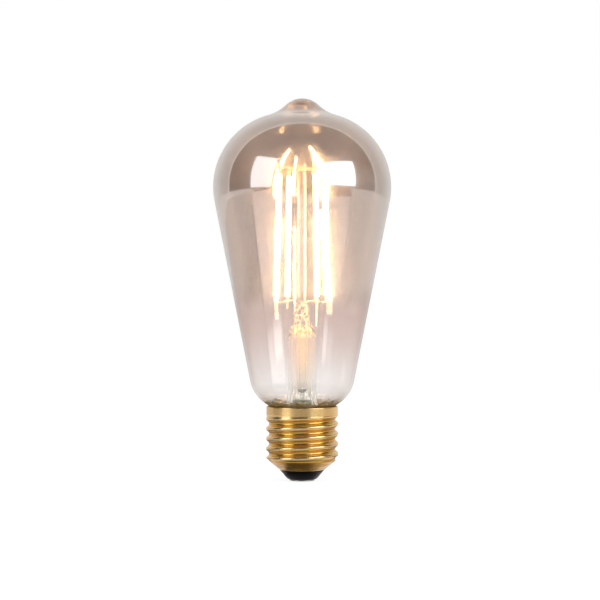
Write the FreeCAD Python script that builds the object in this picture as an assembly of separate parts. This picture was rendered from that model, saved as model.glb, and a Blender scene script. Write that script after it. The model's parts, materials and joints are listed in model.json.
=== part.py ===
import FreeCAD, Part
import math
import os

Vector = FreeCAD.Vector

# Smart filament lamp with a conical glass bulb, a screw cap and its driver inside the cap.
# Millimetres and degrees. The origin is the centre of the centre contact's lower face, and +Z runs
# up the lamp's axis from the contact to the tip of the glass.

# ---------------------------------------------------------------- whole lamp
overall_length = 139.5
glass_diameter = 65.0

# ---------------------------------------------------------------- glass envelope
glass_wall = 0.9
pip_radius = 8.7             # rounded tip that the mould leaves on the crown
pip_flare_radius = 16.6      # hollow curve from the tip out to the crown
crown_radius = 27.1          # crown and upper shoulder
crown_height = 32.4          # from the widest circle to the tip
equator_z = overall_length - crown_height
cone_half_angle = 11.25
shoulder_radius = 13.0       # lower shoulder, above the neck
neck_slope = 55.0            # slope of the glass into the neck, from the axis
neck_fillet = 3.8
neck_radius = 11.15
neck_start_z = 24.6          # below this the neck is a plain cylinder, hidden in the cap
seal_z = 20.0                # where the neck is fused to the rim of the stem
seal_bead_height = 1.0

# ---------------------------------------------------------------- glass stem
stem_radius = 5.1
stem_wall = 1.0
stem_flare_radius = 22.0
pinch_height = 11.5          # the tube is pressed flat over this height
pinch_drop = 1.0             # from the crossbars down to the top of the pinch
pinch_half_width = 2.6
pinch_half_depth = 4.3
exhaust_radius = 2.0
exhaust_wall = 0.6
exhaust_clearance = 1.6      # from the antenna up to the sealed tip
exhaust_seat_height = 2.5    # how far the exhaust tube is fused into the pinch
blow_hole_radius = 1.0
blow_hole_height = 5.5       # above the base of the pinch
seal_gap = 0.02              # between a wire or tube and the glass fused round it

rod_radius = 1.5
rod_seat_depth = 2.0
button_radius = 1.95
button_height = 3.6

# ---------------------------------------------------------------- filament cage
filament_count = 4
cage_phase = 30.0            # angle of the first filament, from +X
cage_top_radius = 9.5
cage_bottom_radius = 10.9
cage_top_drop = 25.6         # from the tip of the glass down to the crosswires
filament_lit_length = 44.2
tab_top_reach = 2.4          # from the lit length up to the crosswires
tab_bottom_reach = 2.3       # from the lit length down to the crossbars
filament_coat_width = 1.9
filament_coat_depth = 1.6
coat_end_radius = 0.5
strip_width = 1.1
strip_thickness = 0.4
strip_margin = 2.0           # the coating reaches this far past each end of the strip
tab_width = 0.8
tab_thickness = 0.3
tab_overhang = 2.3           # a tab reaches this far past the wire that it is welded to
frame_wire_radius = 0.3
weld_gap = 0.02
crosswire_overhang = 1.4
crossbar_inset = 2.6         # from the filament inwards to the bend of the crossbar
crossbar_bend = 1.0

top_wire_z = overall_length - cage_top_drop
filament_lit_bottom_z = top_wire_z - tab_top_reach - filament_lit_length
bottom_wire_z = filament_lit_bottom_z - tab_bottom_reach
pinch_top_z = bottom_wire_z - pinch_drop
pinch_base_z = pinch_top_z - pinch_height

# ---------------------------------------------------------------- screw cap
cap_rim_z = 27.1
sheet = 0.3                  # brass sheet
collar_radius = 13.05
thread_crest_radius = 13.2
thread_root_radius = 12.1
thread_pitch = 3.629
thread_crest_z = 20.72       # height of a crest on the +X side
thread_top_z = 24.2
thread_top_fade = 2.2
thread_bottom_z = 7.4
thread_bottom_fade = 1.0
cone_top_radius = 12.2
lip_radius = 8.15
lip_z = 3.95
rolled_step = 0.05           # small shoulder at each end of the thread

contact_radius = 4.6
contact_thickness = 0.4
contact_edge = 0.2
shank_radius = 0.75
shank_length = 4.2

insulator_foot_radius = 5.4
insulator_foot_z = 0.8
insulator_top_z = 6.6
insulator_gap = 0.03
insulator_bowl_radius = 9.0
insulator_floor_radius = 3.2
insulator_floor_z = 3.2

cement_bottom_z = 20.6
cement_top_z = 26.3
cement_gap = 0.02

# ---------------------------------------------------------------- driver
sleeve_wall = 0.4
sleeve_gap = 0.25            # from the thread's roots to the sleeve
sleeve_top_z = 18.0
sleeve_foot_width = 0.9
board_thickness = 1.0
board_gap = 0.25
board_shoulder_z = 17.9
board_neck_width = 12.8
board_neck_top_z = 22.2
antenna_width = 6.6
antenna_top_z = 29.4
lead_radius = 0.25
lead_gap = 0.03              # from a lead to the wall of its hole in the board
lead_end = 0.35              # a lead shows this far past the far face of the board
solder_radius = 0.65
solder_height = 0.45
standoff = 0.9               # from the board to a leaded part

capacitor_radius = 3.15
capacitor_length = 8.6
capacitor_x = -4.2
capacitor_bottom_z = 9.3
film_width = 5.6
film_depth = 3.2
film_height = 6.2
film_x = 3.7
film_z = 13.4
varistor_radius = 2.4
varistor_thickness = 1.8
varistor_z = 13.2
resistor_radius = 1.1
resistor_length = 5.6
resistor_x = 8.5
resistor_z = 13.0
choke_radius = 2.9
choke_height = 5.2
choke_flange = 0.9
choke_core_radius = 1.3
choke_x = 5.5
choke_z = 12.4
rectifier_width = 4.7
rectifier_height = 3.2
rectifier_depth = 1.8
rectifier_x = -5.7
rectifier_z = 10.8
chip_width = 3.9
chip_height = 4.9
chip_depth = 1.4
chip_x = -5.9
chip_z = 15.2
chip_pin_rows = 4
chip_pin_pitch = 1.27
chip_pin_width = 0.4
chip_pin_reach = 1.0
pin_thickness = 0.2
shield_width = 7.6
shield_height = 4.4
shield_depth = 1.7
shield_wall = 0.2
shield_bottom_z = 17.7
radio_chip_size = 3.2
crystal_width = 2.0
crystal_height = 1.6
passive_length = 1.6
passive_width = 0.8
passive_height = 0.45
passive_count = 6
passive_pitch = 1.5
passive_x = -1.0
passive_bottom_z = 8.6
trace_width = 0.4
trace_thickness = 0.07

wire_radius = 0.3
wire_bend = 1.2
lead_in_pad_x = 5.0
lead_in_pinch_x = 1.55
lead_in_pinch_y = 1.9
side_wire_radius = 0.15
side_wire_gap = 0.03
side_wire_length = 1.9        # along the board
contact_wire_length = 2.8     # along the board
side_solder_radius = 1.0

origin = Vector(0, 0, 0)
up = Vector(0, 0, 1)
parts = {}


# ---------------------------------------------------------------- helpers
def point(radius, z):
    """A point of a profile in the XZ plane."""
    return Vector(radius, 0, z)


def normal(angle):
    """Unit vector in the XZ plane, at an angle from +X towards +Z."""
    return Vector(math.cos(math.radians(angle)), 0, math.sin(math.radians(angle)))


def around(radius, angle, z):
    """A point at a radius and an angle about the lamp's axis."""
    return Vector(radius * math.cos(math.radians(angle)), radius * math.sin(math.radians(angle)), z)


def line(start, end):
    return Part.LineSegment(start, end).toShape()


def arc(centre, radius, first, last):
    """Arc in the XZ plane. A negative radius gives the far side of the circle."""
    middle = (first + last) / 2
    points = [centre + normal(angle) * radius for angle in (first, middle, last)]
    return Part.Arc(*points).toShape()


def revolved(edges):
    """Solid of revolution about the lamp's axis from a closed profile."""
    return Part.Face(Part.Wire(edges)).revolve(origin, up, 360)


def profile(points):
    """Solid of revolution from the corners of a straight-sided profile."""
    return Part.Face(Part.makePolygon(points + points[:1])).revolve(origin, up, 360)


def block(centre, width, depth, height):
    """Box with its middle at centre: width along X, depth along Y, height along Z."""
    corner = centre - Vector(width, depth, height) / 2
    return Part.makeBox(width, depth, height, corner)


def wire_path(points, bend):
    """Straight runs through the points, joined by tangent arcs."""
    edges = []
    start = points[0]
    for before, corner, after in zip(points, points[1:], points[2:]):
        arriving = (corner - before).normalize()
        leaving = (after - corner).normalize()
        turn = arriving.getAngle(leaving)
        room = 0.45 * min(corner.distanceToPoint(before), corner.distanceToPoint(after))
        reach = min(bend * math.tan(turn / 2), room)
        radius = reach / math.tan(turn / 2)
        inward = (leaving - arriving).normalize()
        first = corner - arriving * reach
        last = corner + leaving * reach
        middle = corner + inward * (radius / math.cos(turn / 2) - radius)
        edges.append(line(start, first))
        edges.append(Part.Arc(first, middle, last).toShape())
        start = last
    edges.append(line(start, points[-1]))
    return Part.Wire(edges)


def round_wire(points, radius, bend=wire_bend):
    """Round wire along straight runs joined by tangent arcs."""
    path = wire_path(points, bend)
    circle = Part.Wire(Part.makeCircle(radius, points[0], points[1] - points[0]))
    return path.makePipeShell([circle], True, False)


def rod(start, end, radius):
    """Straight round bar from one point to another."""
    return Part.makeCylinder(radius, start.distanceToPoint(end), start, end - start)


def level_edges(shape):
    return [edge for edge in shape.Edges if edge.BoundBox.ZLength < seal_gap]


# ---------------------------------------------------------------- glass envelope
def circles_meet(centre_a, radius_a, centre_b, radius_b):
    """The upper of the two points that lie at given distances from two centres in the XZ plane."""
    between = centre_b - centre_a
    span = between.Length
    along = (radius_a ** 2 - radius_b ** 2 + span ** 2) / (2 * span)
    across = math.sqrt(radius_a ** 2 - along ** 2)
    direction = between / span
    sideways = Vector(-direction.z, 0, direction.x)
    return centre_a + direction * along + sideways * across


def lines_meet(angle_a, reach_a, angle_b, reach_b):
    """Point whose distances along two directions in the XZ plane are given."""
    a = normal(angle_a)
    b = normal(angle_b)
    across = a.x * b.z - a.z * b.x
    return point((reach_a * b.z - reach_b * a.z) / across, (reach_b * a.x - reach_a * b.x) / across)


def envelope_arcs():
    """Arcs of the outer face from the tip down: centre, radius, first and last angle of the normal.

    A hollow arc has a negative radius. Each arc is tangent to the next, or to the line between them.
    """
    pip = point(0, overall_length - pip_radius)
    crown = point(glass_diameter / 2 - crown_radius, equator_z)
    hollow = circles_meet(pip, pip_radius + pip_flare_radius, crown, crown_radius + pip_flare_radius)
    from_pip = hollow - pip
    from_crown = hollow - crown
    pip_angle = math.degrees(math.atan2(from_pip.z, from_pip.x))
    crown_angle = math.degrees(math.atan2(from_crown.z, from_crown.x))
    neck = point(neck_radius + neck_fillet, neck_start_z)
    cone_reach = crown.dot(normal(-cone_half_angle)) + crown_radius
    slope_reach = neck.dot(normal(-neck_slope)) - neck_fillet
    shoulder = lines_meet(
        -cone_half_angle, cone_reach - shoulder_radius, -neck_slope, slope_reach - shoulder_radius
    )
    return [
        (pip, pip_radius, 90, pip_angle),
        (hollow, -pip_flare_radius, pip_angle, crown_angle),
        (crown, crown_radius, crown_angle, -cone_half_angle),
        (shoulder, shoulder_radius, -cone_half_angle, -neck_slope),
        (neck, -neck_fillet, -neck_slope, 0),
    ]


def envelope_outline(inward):
    """Edges from the tip to the seal, moved inwards from the outer face."""
    edges = []
    last_point = None
    for centre, radius, first, last in envelope_arcs():
        edge = arc(centre, radius - inward, first, last)
        start, end = edge.valueAt(edge.FirstParameter), edge.valueAt(edge.LastParameter)
        if last_point is not None and last_point.distanceToPoint(start) > seal_gap:
            edges.append(line(last_point, start))
        edges.append(edge)
        last_point = end
    edges.append(line(last_point, point(neck_radius - inward, seal_z)))
    return edges


def glass_envelope():
    outer = envelope_outline(0)
    inner = envelope_outline(glass_wall)
    rim = line(point(neck_radius, seal_z), point(neck_radius - glass_wall, seal_z))
    tip = line(point(0, overall_length - glass_wall), point(0, overall_length))
    return revolved(Part.__sortEdges__(outer + [rim] + inner + [tip]))


# ---------------------------------------------------------------- glass stem
def flare_centre():
    """Centre of the arc along which the stem opens out to the neck."""
    rim_radius = neck_radius - glass_wall
    across = stem_flare_radius - (rim_radius - stem_radius)
    return point(stem_radius + stem_flare_radius, seal_z + math.sqrt(stem_flare_radius ** 2 - across ** 2))


def flare_bore(z):
    """Inner radius of the flared stem at a height below its straight tube."""
    centre = flare_centre()
    return centre.x - math.sqrt((stem_flare_radius + stem_wall) ** 2 - (centre.z - z) ** 2)


def flare_arc(radius, end_z):
    """Arc of the flare from the straight tube down to a height."""
    centre = flare_centre()
    drop = math.degrees(math.asin((centre.z - end_z) / radius))
    return arc(centre, radius, 180, 180 + drop)


def stem_pinch():
    """Pressed end of the stem, lofted from the round tube to a flat oval."""
    height = pinch_top_z - pinch_base_z
    sections = [
        (0.0, stem_radius, stem_radius),
        (0.18, 0.9 * stem_radius, 0.96 * stem_radius),
        (0.52, 1.15 * pinch_half_width, 1.05 * pinch_half_depth),
        (0.75, pinch_half_width, pinch_half_depth),
        (1.0, pinch_half_width, pinch_half_depth),
    ]
    wires = []
    for share, half_width, half_depth in sections:
        middle = Vector(0, 0, pinch_base_z + share * height)
        if half_width == half_depth:
            wires.append(Part.Wire(Part.makeCircle(half_width, middle, up, 90, 450)))
            continue
        oval = Part.Ellipse(middle + Vector(0, half_depth, 0), middle + Vector(half_width, 0, 0), middle)
        wires.append(Part.Wire(oval.toShape()))
    return Part.makeLoft(wires, True)


def lead_in_points(side):
    """Route of a lead-in wire from the driver board through the pinch to the crossbar, for +X or -X."""
    pad_y = -side * (board_thickness / 2 + wire_radius + weld_gap)
    pinch_y = -side * lead_in_pinch_y
    pad_x = side * lead_in_pad_x
    pinch_x = side * lead_in_pinch_x
    end = crossbar_middle(side)
    wire_z = bottom_wire_z + 2 * frame_wire_radius + weld_gap
    return [
        Vector(pad_x, pad_y, board_shoulder_z + 1.2),
        Vector(pad_x, pad_y, board_neck_top_z + 0.3),
        Vector(pinch_x, pinch_y, flare_centre().z + 2 * stem_wall),
        Vector(pinch_x, pinch_y, wire_z),
        Vector(end.x, end.y, wire_z),
    ]


def stem():
    bore = stem_radius - stem_wall
    flare = flare_centre()
    outer = flare_arc(stem_flare_radius, seal_z)
    bottom_z = seal_z - seal_bead_height
    inner = flare_arc(stem_flare_radius + stem_wall, bottom_z)
    foot = inner.valueAt(inner.LastParameter)
    outline = [
        line(point(bore, pinch_base_z), point(stem_radius, pinch_base_z)),
        line(point(stem_radius, pinch_base_z), point(stem_radius, flare.z)),
        outer,
        line(point(neck_radius - glass_wall, seal_z), point(neck_radius, seal_z)),
        line(point(neck_radius, seal_z), point(neck_radius, bottom_z)),
        line(point(neck_radius, bottom_z), foot),
        inner,
        line(point(bore, flare.z), point(bore, pinch_base_z)),
    ]
    tube = revolved(outline)
    dome = Part.makeSphere(bore, Vector(0, 0, pinch_base_z))
    seat = Vector(0, 0, pinch_base_z + exhaust_seat_height)
    socket = rod(Vector(0, 0, pinch_base_z), seat, exhaust_radius + seal_gap)
    blow_top = Vector(0, 0, pinch_base_z + blow_hole_height)
    blow_up = rod(Vector(0, 0, pinch_base_z), blow_top, blow_hole_radius)
    blow_out = rod(blow_top, blow_top + Vector(0, 2 * stem_radius, 0), blow_hole_radius)
    above = Vector(0, 0, pinch_top_z + stem_wall)
    rod_socket = rod(Vector(0, 0, pinch_top_z - rod_seat_depth), above, rod_radius + seal_gap)
    shape = tube.fuse(stem_pinch()).cut([dome, socket, blow_up, blow_out, rod_socket])
    for side in (-1, 1):
        aside = Vector(side * lead_in_pinch_x, -side * lead_in_pinch_y, 0)
        below = Vector(0, 0, pinch_base_z - stem_radius)
        shape = shape.cut(rod(below + aside, above + aside, wire_radius + seal_gap))
    return shape


def exhaust_tube():
    """Tube through which the bulb was pumped and filled, sealed to a rounded tip."""
    tip_centre = Vector(0, 0, antenna_top_z + exhaust_clearance + exhaust_radius)
    top = Vector(0, 0, pinch_base_z + exhaust_seat_height - seal_gap)
    tip = Part.makeSphere(exhaust_radius, tip_centre)
    outside = rod(tip_centre, top, exhaust_radius).fuse(tip)
    bore = exhaust_radius - exhaust_wall
    bottom = tip_centre + up * exhaust_wall
    inside = rod(bottom, top + up, bore).fuse(Part.makeSphere(bore, bottom))
    return outside.cut(inside).removeSplitter()


def crosswire_level(pair):
    """Height of one of the two crosswires, which pass one over the other."""
    step = frame_wire_radius + weld_gap
    return top_wire_z + (step if pair == 0 else -step)


def weld_offset():
    """Sideways distance from a tab's middle to the middle of the wire welded to it."""
    return tab_thickness / 2 + frame_wire_radius + weld_gap


def crosswire_line(pair):
    """Ends of the crosswire that joins a filament to the one opposite."""
    angle = cage_phase + pair * 360 / filament_count
    z = crosswire_level(pair)
    reach = cage_top_radius + crosswire_overhang
    aside = around(weld_offset(), angle + 90, 0)
    return around(reach, angle, z) + aside, around(-reach, angle, z) + aside


def glass_rod():
    """Solid glass rod that carries the crosswires in a button at its top."""
    foot = Vector(0, 0, pinch_top_z - rod_seat_depth + seal_gap)
    stretch = button_height / (2 * button_radius)
    stretched = FreeCAD.Matrix()
    stretched.scale(1, 1, stretch)
    button = Part.makeSphere(button_radius).transformGeometry(stretched)
    button.translate(Vector(0, 0, top_wire_z))
    shape = rod(foot, Vector(0, 0, top_wire_z), rod_radius).fuse(button)
    for pair in (0, 1):
        start, end = crosswire_line(pair)
        shape = shape.cut(rod(start, end, frame_wire_radius + seal_gap))
    return shape.removeSplitter()


# ---------------------------------------------------------------- filament cage
def filament_angle(index):
    return cage_phase + index * 360 / filament_count


def crossbar_filaments(side):
    """The two filaments whose lower ends are joined on the +X or -X side."""
    return (0, 3) if side > 0 else (2, 1)


def crossbar_points(side):
    """Route of the wire that joins two lower tabs: in along one tab, across, and out along the other."""
    first, second = (filament_angle(index) for index in crossbar_filaments(side))
    near = cage_bottom_radius - crossbar_inset
    far = cage_bottom_radius + crosswire_overhang
    first_aside = around(weld_offset(), first - 90, 0)
    second_aside = around(weld_offset(), second + 90, 0)
    return [
        around(far, first, bottom_wire_z) + first_aside,
        around(near, first, bottom_wire_z) + first_aside,
        around(near, second, bottom_wire_z) + second_aside,
        around(far, second, bottom_wire_z) + second_aside,
    ]


def crossbar_middle(side):
    """Where a lead-in wire ends, a little past the middle of its crossbar."""
    points = crossbar_points(side)
    middle = (points[1] + points[2]) / 2
    outward = Vector(middle.x, middle.y, 0).normalize()
    return middle + outward * (2 * wire_radius)


def filament_place(shape, index):
    """Stands a shape, built upright about the origin, in the place of one filament of the cage."""
    height = top_wire_z - bottom_wire_z
    lean = math.degrees(math.atan2(cage_top_radius - cage_bottom_radius, height))
    middle_z = (top_wire_z + bottom_wire_z) / 2
    placed = shape.copy()
    placed.rotate(origin, Vector(0, 1, 0), lean)
    placed.translate(Vector((cage_top_radius + cage_bottom_radius) / 2, 0, middle_z))
    placed.rotate(origin, up, filament_angle(index))
    return placed


def filament_pieces():
    """Ceramic strip, yellow phosphor coating and metal end tabs of one filament, upright."""
    middle_z = (top_wire_z + bottom_wire_z) / 2
    lit_bottom = filament_lit_bottom_z - middle_z
    lit_top = lit_bottom + filament_lit_length
    strip_bottom = lit_bottom + strip_margin
    strip_top = lit_top - strip_margin
    tab_bottom = bottom_wire_z - tab_overhang - middle_z
    tab_top = top_wire_z + tab_overhang - middle_z
    strip = block(
        Vector(0, 0, (strip_bottom + strip_top) / 2), strip_width, strip_thickness, strip_top - strip_bottom
    )
    tabs = []
    for near, far in ((strip_bottom, tab_bottom), (strip_top, tab_top)):
        tabs.append(block(Vector(0, 0, (near + far) / 2), tab_width, tab_thickness, abs(far - near)))
    oval = Part.Ellipse(
        Vector(filament_coat_width / 2, 0, 0), Vector(0, filament_coat_depth / 2, 0), origin
    )
    coat = Part.Face(Part.Wire(oval.toShape())).extrude(Vector(0, 0, filament_lit_length))
    ends = [edge for edge in level_edges(coat) if edge.Length > filament_coat_width]
    coat = coat.makeFillet(coat_end_radius, ends)
    coat.translate(Vector(0, 0, lit_bottom))
    slot = block(
        Vector(0, 0, (strip_bottom + strip_top) / 2),
        strip_width + 2 * seal_gap,
        strip_thickness + 2 * seal_gap,
        strip_top - strip_bottom,
    )
    coat = coat.cut(slot)
    for tab in tabs:
        box = tab.BoundBox
        hole = block(box.Center, tab_width + 2 * seal_gap, tab_thickness + 2 * seal_gap, box.ZLength)
        coat = coat.cut(hole)
    return strip, coat, Part.makeCompound(tabs)


# ---------------------------------------------------------------- screw cap
def smooth(share):
    """Rises from 0 to 1 with no corner at either end."""
    share = max(0, min(1, share))
    return share * share * (3 - 2 * share)


def thread_radius(angle, z, inward):
    """Radius of the rolled thread at an angle and height, moved inwards through the sheet.

    The section is a crest arc and a root arc of one radius, tangent to each other. It fades into the
    collar above and into the cone below.
    """
    depth = thread_crest_radius - thread_root_radius
    half_pitch = thread_pitch / 2
    arc_radius = (half_pitch ** 2 + depth ** 2) / (4 * depth)
    past_crest = (z - thread_crest_z - thread_pitch * angle / 360) % thread_pitch
    from_crest = min(past_crest, thread_pitch - past_crest)
    crest_arc = arc_radius - inward
    root_arc = arc_radius + inward
    if from_crest < half_pitch * crest_arc / (2 * arc_radius):
        wave = thread_crest_radius - arc_radius + math.sqrt(crest_arc ** 2 - from_crest ** 2)
    else:
        from_root = half_pitch - from_crest
        wave = thread_root_radius + arc_radius - math.sqrt(root_arc ** 2 - from_root ** 2)
    above = smooth((thread_top_z - z) / thread_top_fade)
    below = smooth((z - thread_bottom_z) / thread_bottom_fade)
    plain = collar_radius - rolled_step if below == 1 else cone_top_radius - rolled_step
    return plain - inward + (wave - plain + inward) * above * below


def thread_body(inward):
    """Solid with the thread's face, from the cone to the collar."""
    columns = 36
    thread_length = thread_top_z - thread_bottom_z
    rows = math.ceil(thread_length / thread_pitch * 12)
    grid = []
    for column in range(columns + 1):
        angle = 360 * (column % columns) / columns
        heights = [thread_bottom_z + thread_length * row / rows for row in range(rows + 1)]
        grid.append([around(thread_radius(angle, z, inward), angle, z) for z in heights])
    surface = Part.BSplineSurface()
    surface.interpolate(grid)
    side = surface.toShape()
    faces = [side] + [Part.Face(Part.Wire(rim)) for rim in level_edges(side)]
    body = Part.Solid(Part.Shell(faces))
    body.fix(1e-6, 1e-6, 1e-6)
    return body


def cap_body(inward):
    """The cap's outer form, or its inner form when it is moved inwards through the sheet."""
    cone_angle = math.atan2(cone_top_radius - lip_radius, thread_bottom_z - lip_z)
    cone_inward = inward / math.cos(cone_angle)
    cone = Part.makeCone(
        lip_radius - cone_inward, cone_top_radius - cone_inward, thread_bottom_z - lip_z, Vector(0, 0, lip_z)
    )
    collar = rod(Vector(0, 0, thread_top_z), Vector(0, 0, cap_rim_z), collar_radius - inward)
    return thread_body(inward).fuse([cone, collar])


def screw_shell():
    return cap_body(0).cut(cap_body(sheet))


def centre_contact():
    """Rivet: a flat head under the insulator and a shank that pins the contact wire in its hole."""
    head = Part.makeCylinder(contact_radius, contact_thickness)
    rim = [edge for edge in head.Edges if edge.BoundBox.ZMax < seal_gap]
    head = head.makeFillet(contact_edge, rim)
    shank = Part.makeCylinder(shank_radius, contact_thickness + shank_length)
    return head.fuse(shank).removeSplitter()


def insulator_hole_radius():
    return shank_radius + 2 * (wire_radius + seal_gap)


def cone_slope():
    return (cone_top_radius - lip_radius) / (thread_bottom_z - lip_z)


def cone_bore(z):
    """Inner radius of the cap's cone at a height."""
    return lip_radius - sheet * math.hypot(1, cone_slope()) + (z - lip_z) * cone_slope()


def insulator():
    """Black ring between the shell and the contact: a cone outside and a bowl inside."""
    ledge_z = lip_z - insulator_gap
    hole = insulator_hole_radius()
    bottom_z = contact_thickness + weld_gap
    return profile([
        point(hole, bottom_z),
        point(contact_radius, bottom_z),
        point(insulator_foot_radius, insulator_foot_z),
        point(lip_radius, ledge_z),
        point(cone_bore(ledge_z) - insulator_gap, ledge_z),
        point(cone_bore(insulator_top_z) - insulator_gap, insulator_top_z),
        point(insulator_bowl_radius, insulator_top_z),
        point(insulator_floor_radius, insulator_floor_z),
        point(hole, insulator_floor_z),
    ])


def contact_wire_points():
    """Route of the wire from the board down beside the rivet's shank."""
    face_y = board_thickness / 2 + wire_radius + weld_gap
    shank_y = shank_radius + wire_radius + weld_gap
    bottom = board_bottom_z()
    return [
        Vector(0, face_y, bottom + contact_wire_length),
        Vector(0, face_y, bottom + wire_bend),
        Vector(0, shank_y, bottom - wire_bend),
        Vector(0, shank_y, contact_thickness + 2 * weld_gap),
    ]


def side_wire_points():
    """Route from the board over the sleeve, up past the neck and over the cap's rim, on the +Y side."""
    low_y = neck_radius + side_wire_radius + side_wire_gap
    high_y = collar_radius - sheet - side_wire_radius - side_wire_gap
    out_y = collar_radius + side_wire_radius + side_wire_gap
    start_y = board_thickness / 2 + side_wire_radius + side_wire_gap
    cross_z = (sleeve_top_z + seal_z - seal_bead_height) / 2
    over_z = cap_rim_z + side_wire_radius + side_wire_gap
    return [
        Vector(0, start_y, cross_z - side_wire_length),
        Vector(0, start_y, cross_z),
        Vector(0, low_y, cross_z),
        Vector(0, low_y, thread_top_z - 10 * side_wire_radius),
        Vector(0, high_y, thread_top_z + 5 * side_wire_radius),
        Vector(0, high_y, over_z),
        Vector(0, out_y, over_z),
        Vector(0, out_y, cap_rim_z - side_solder_radius),
    ]


def side_wire(clearance=0):
    """Side wire, or the room that it needs in the pieces that it passes."""
    radius = side_wire_radius + clearance
    return round_wire(side_wire_points(), radius, side_wire_radius + 2 * side_wire_gap)


def side_solder():
    """Drop of solder on the collar that holds the end of the side wire."""
    drop = Part.makeSphere(side_solder_radius, Vector(0, collar_radius, cap_rim_z - side_solder_radius))
    collar = Part.makeCylinder(collar_radius + weld_gap, overall_length)
    return drop.cut([collar, side_wire(side_wire_gap)])


def glass_blank(clearance):
    """Solid inside the envelope's outer face, grown by a clearance."""
    outline = envelope_outline(-clearance)
    foot = point(neck_radius + clearance, seal_z)
    axis_foot = point(0, seal_z)
    tip = point(0, overall_length + clearance)
    return revolved(Part.__sortEdges__(outline + [line(foot, axis_foot), line(axis_foot, tip)]))


def basing_cement():
    """Ring of cement that holds the glass neck in the threads and the collar."""
    low = thread_root_radius - sheet - cement_gap
    high = collar_radius - sheet - cement_gap
    inner = neck_radius - cement_gap
    step_z = thread_top_z + cement_gap
    ring = profile([
        point(inner, cement_bottom_z),
        point(low, cement_bottom_z),
        point(low, step_z),
        point(high, step_z),
        point(high, cement_top_z),
        point(inner, cement_top_z),
    ])
    return ring.cut([glass_blank(cement_gap), side_wire(side_wire_gap)])


# ---------------------------------------------------------------- driver
def sleeve_radius():
    return thread_root_radius - sheet - sleeve_gap


def sleeve_bore():
    return sleeve_radius() - sleeve_wall


def sleeve_bottom_z():
    return insulator_top_z + weld_gap


def sleeve_foot_inner():
    return cone_bore(sleeve_bottom_z()) - insulator_gap - sleeve_foot_width


def insulating_sleeve():
    """Plastic tube that keeps the driver off the shell and stands on the insulator."""
    shoulder_z = thread_bottom_z + sleeve_wall
    return profile([
        point(sleeve_radius(), sleeve_top_z),
        point(sleeve_radius(), shoulder_z),
        point(cone_bore(thread_bottom_z) - insulator_gap, thread_bottom_z),
        point(cone_bore(sleeve_bottom_z()) - insulator_gap, sleeve_bottom_z()),
        point(sleeve_foot_inner(), sleeve_bottom_z()),
        point(sleeve_bore(), sleeve_bottom_z() + sleeve_bore() - sleeve_foot_inner()),
        point(sleeve_bore(), sleeve_top_z),
    ])


def board_bottom_z():
    return sleeve_bottom_z() + board_gap


def on_board(x, off_board, z, side):
    """A point off the board's front face (side -1) or back face (side 1)."""
    return Vector(x, side * (board_thickness / 2 + off_board), z)


def board_pins():
    """Holes for leads: x, z and the side that the part stands on."""
    low_z = capacitor_bottom_z - standoff
    varistor_low_z = film_z - film_height / 2 - standoff
    resistor_reach = resistor_length / 2 + standoff
    return [
        (capacitor_x - capacitor_radius / 3, low_z, 1),
        (capacitor_x + capacitor_radius / 3, low_z, 1),
        (film_x - film_width * 0.4, film_z, 1),
        (film_x + film_width * 0.4, film_z, 1),
        (film_x - varistor_radius / 2, varistor_low_z, 1),
        (film_x + varistor_radius / 2, varistor_low_z, 1),
        (resistor_x, resistor_z - resistor_reach, 1),
        (resistor_x, resistor_z + resistor_reach, 1),
        (choke_x - choke_radius * 0.6, choke_z, -1),
        (choke_x + choke_radius * 0.6, choke_z, -1),
    ]


def pin_end(x, z, side):
    """Where a lead ends, past the face that its part doesn't stand on."""
    return on_board(x, -board_thickness - lead_end, z, side)


def driver_board():
    """Circuit board that stands upright in the cap, with an antenna tongue up inside the stem."""
    half = math.sqrt((sleeve_bore() - board_gap) ** 2 - (board_thickness / 2) ** 2)
    bottom = board_bottom_z()
    corner_x = sleeve_foot_inner() - board_gap
    right = [
        (corner_x, bottom),
        (half, bottom + half - corner_x),
        (half, board_shoulder_z),
        (board_neck_width / 2, board_shoulder_z),
        (board_neck_width / 2, board_neck_top_z),
        (antenna_width / 2, board_neck_top_z),
        (antenna_width / 2, antenna_top_z),
    ]
    outline = right + [(-x, z) for x, z in reversed(right)]
    corners = [Vector(x, -board_thickness / 2, z) for x, z in outline]
    plate = Part.Face(Part.makePolygon(corners + corners[:1])).extrude(Vector(0, board_thickness, 0))
    for x, z, side in board_pins():
        front, back = (on_board(x, board_thickness, z, face) for face in (-1, 1))
        plate = plate.cut(rod(front, back, lead_radius + lead_gap))
    return plate


def with_pins(body, pins, start):
    """Part with straight leads from a distance off the board to past its far face."""
    leads = [rod(on_board(x, start, z, side), pin_end(x, z, side), lead_radius) for x, z, side in pins]
    return body.fuse(leads)


def filter_capacitor():
    """Electrolytic can with its crimp groove, lying along the board with its leads bent in."""
    off_board = capacitor_radius + board_gap
    base = on_board(capacitor_x, off_board, capacitor_bottom_z, 1)
    can = Part.makeCylinder(capacitor_radius, capacitor_length, base)
    can = can.makeFillet(capacitor_radius / 8, level_edges(can))
    groove_z = capacitor_bottom_z + capacitor_length / 6
    groove_centre = on_board(capacitor_x, off_board, groove_z, 1)
    can = can.cut(Part.makeTorus(capacitor_radius * 1.1, capacitor_radius / 6, groove_centre))
    for x, z, side in board_pins()[0:2]:
        route = [
            on_board(x, off_board, capacitor_bottom_z + standoff, side),
            on_board(x, off_board, z, side),
            pin_end(x, z, side),
        ]
        can = can.fuse(round_wire(route, lead_radius, standoff / 2))
    return can


def film_capacitor():
    """Moulded box that stands off the board on two leads."""
    centre = on_board(film_x, standoff + film_depth / 2, film_z, 1)
    box = block(centre, film_width, film_depth, film_height)
    box = box.makeFillet(film_depth / 8, box.Edges)
    return with_pins(box, board_pins()[2:4], standoff + film_depth / 2)


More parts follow.
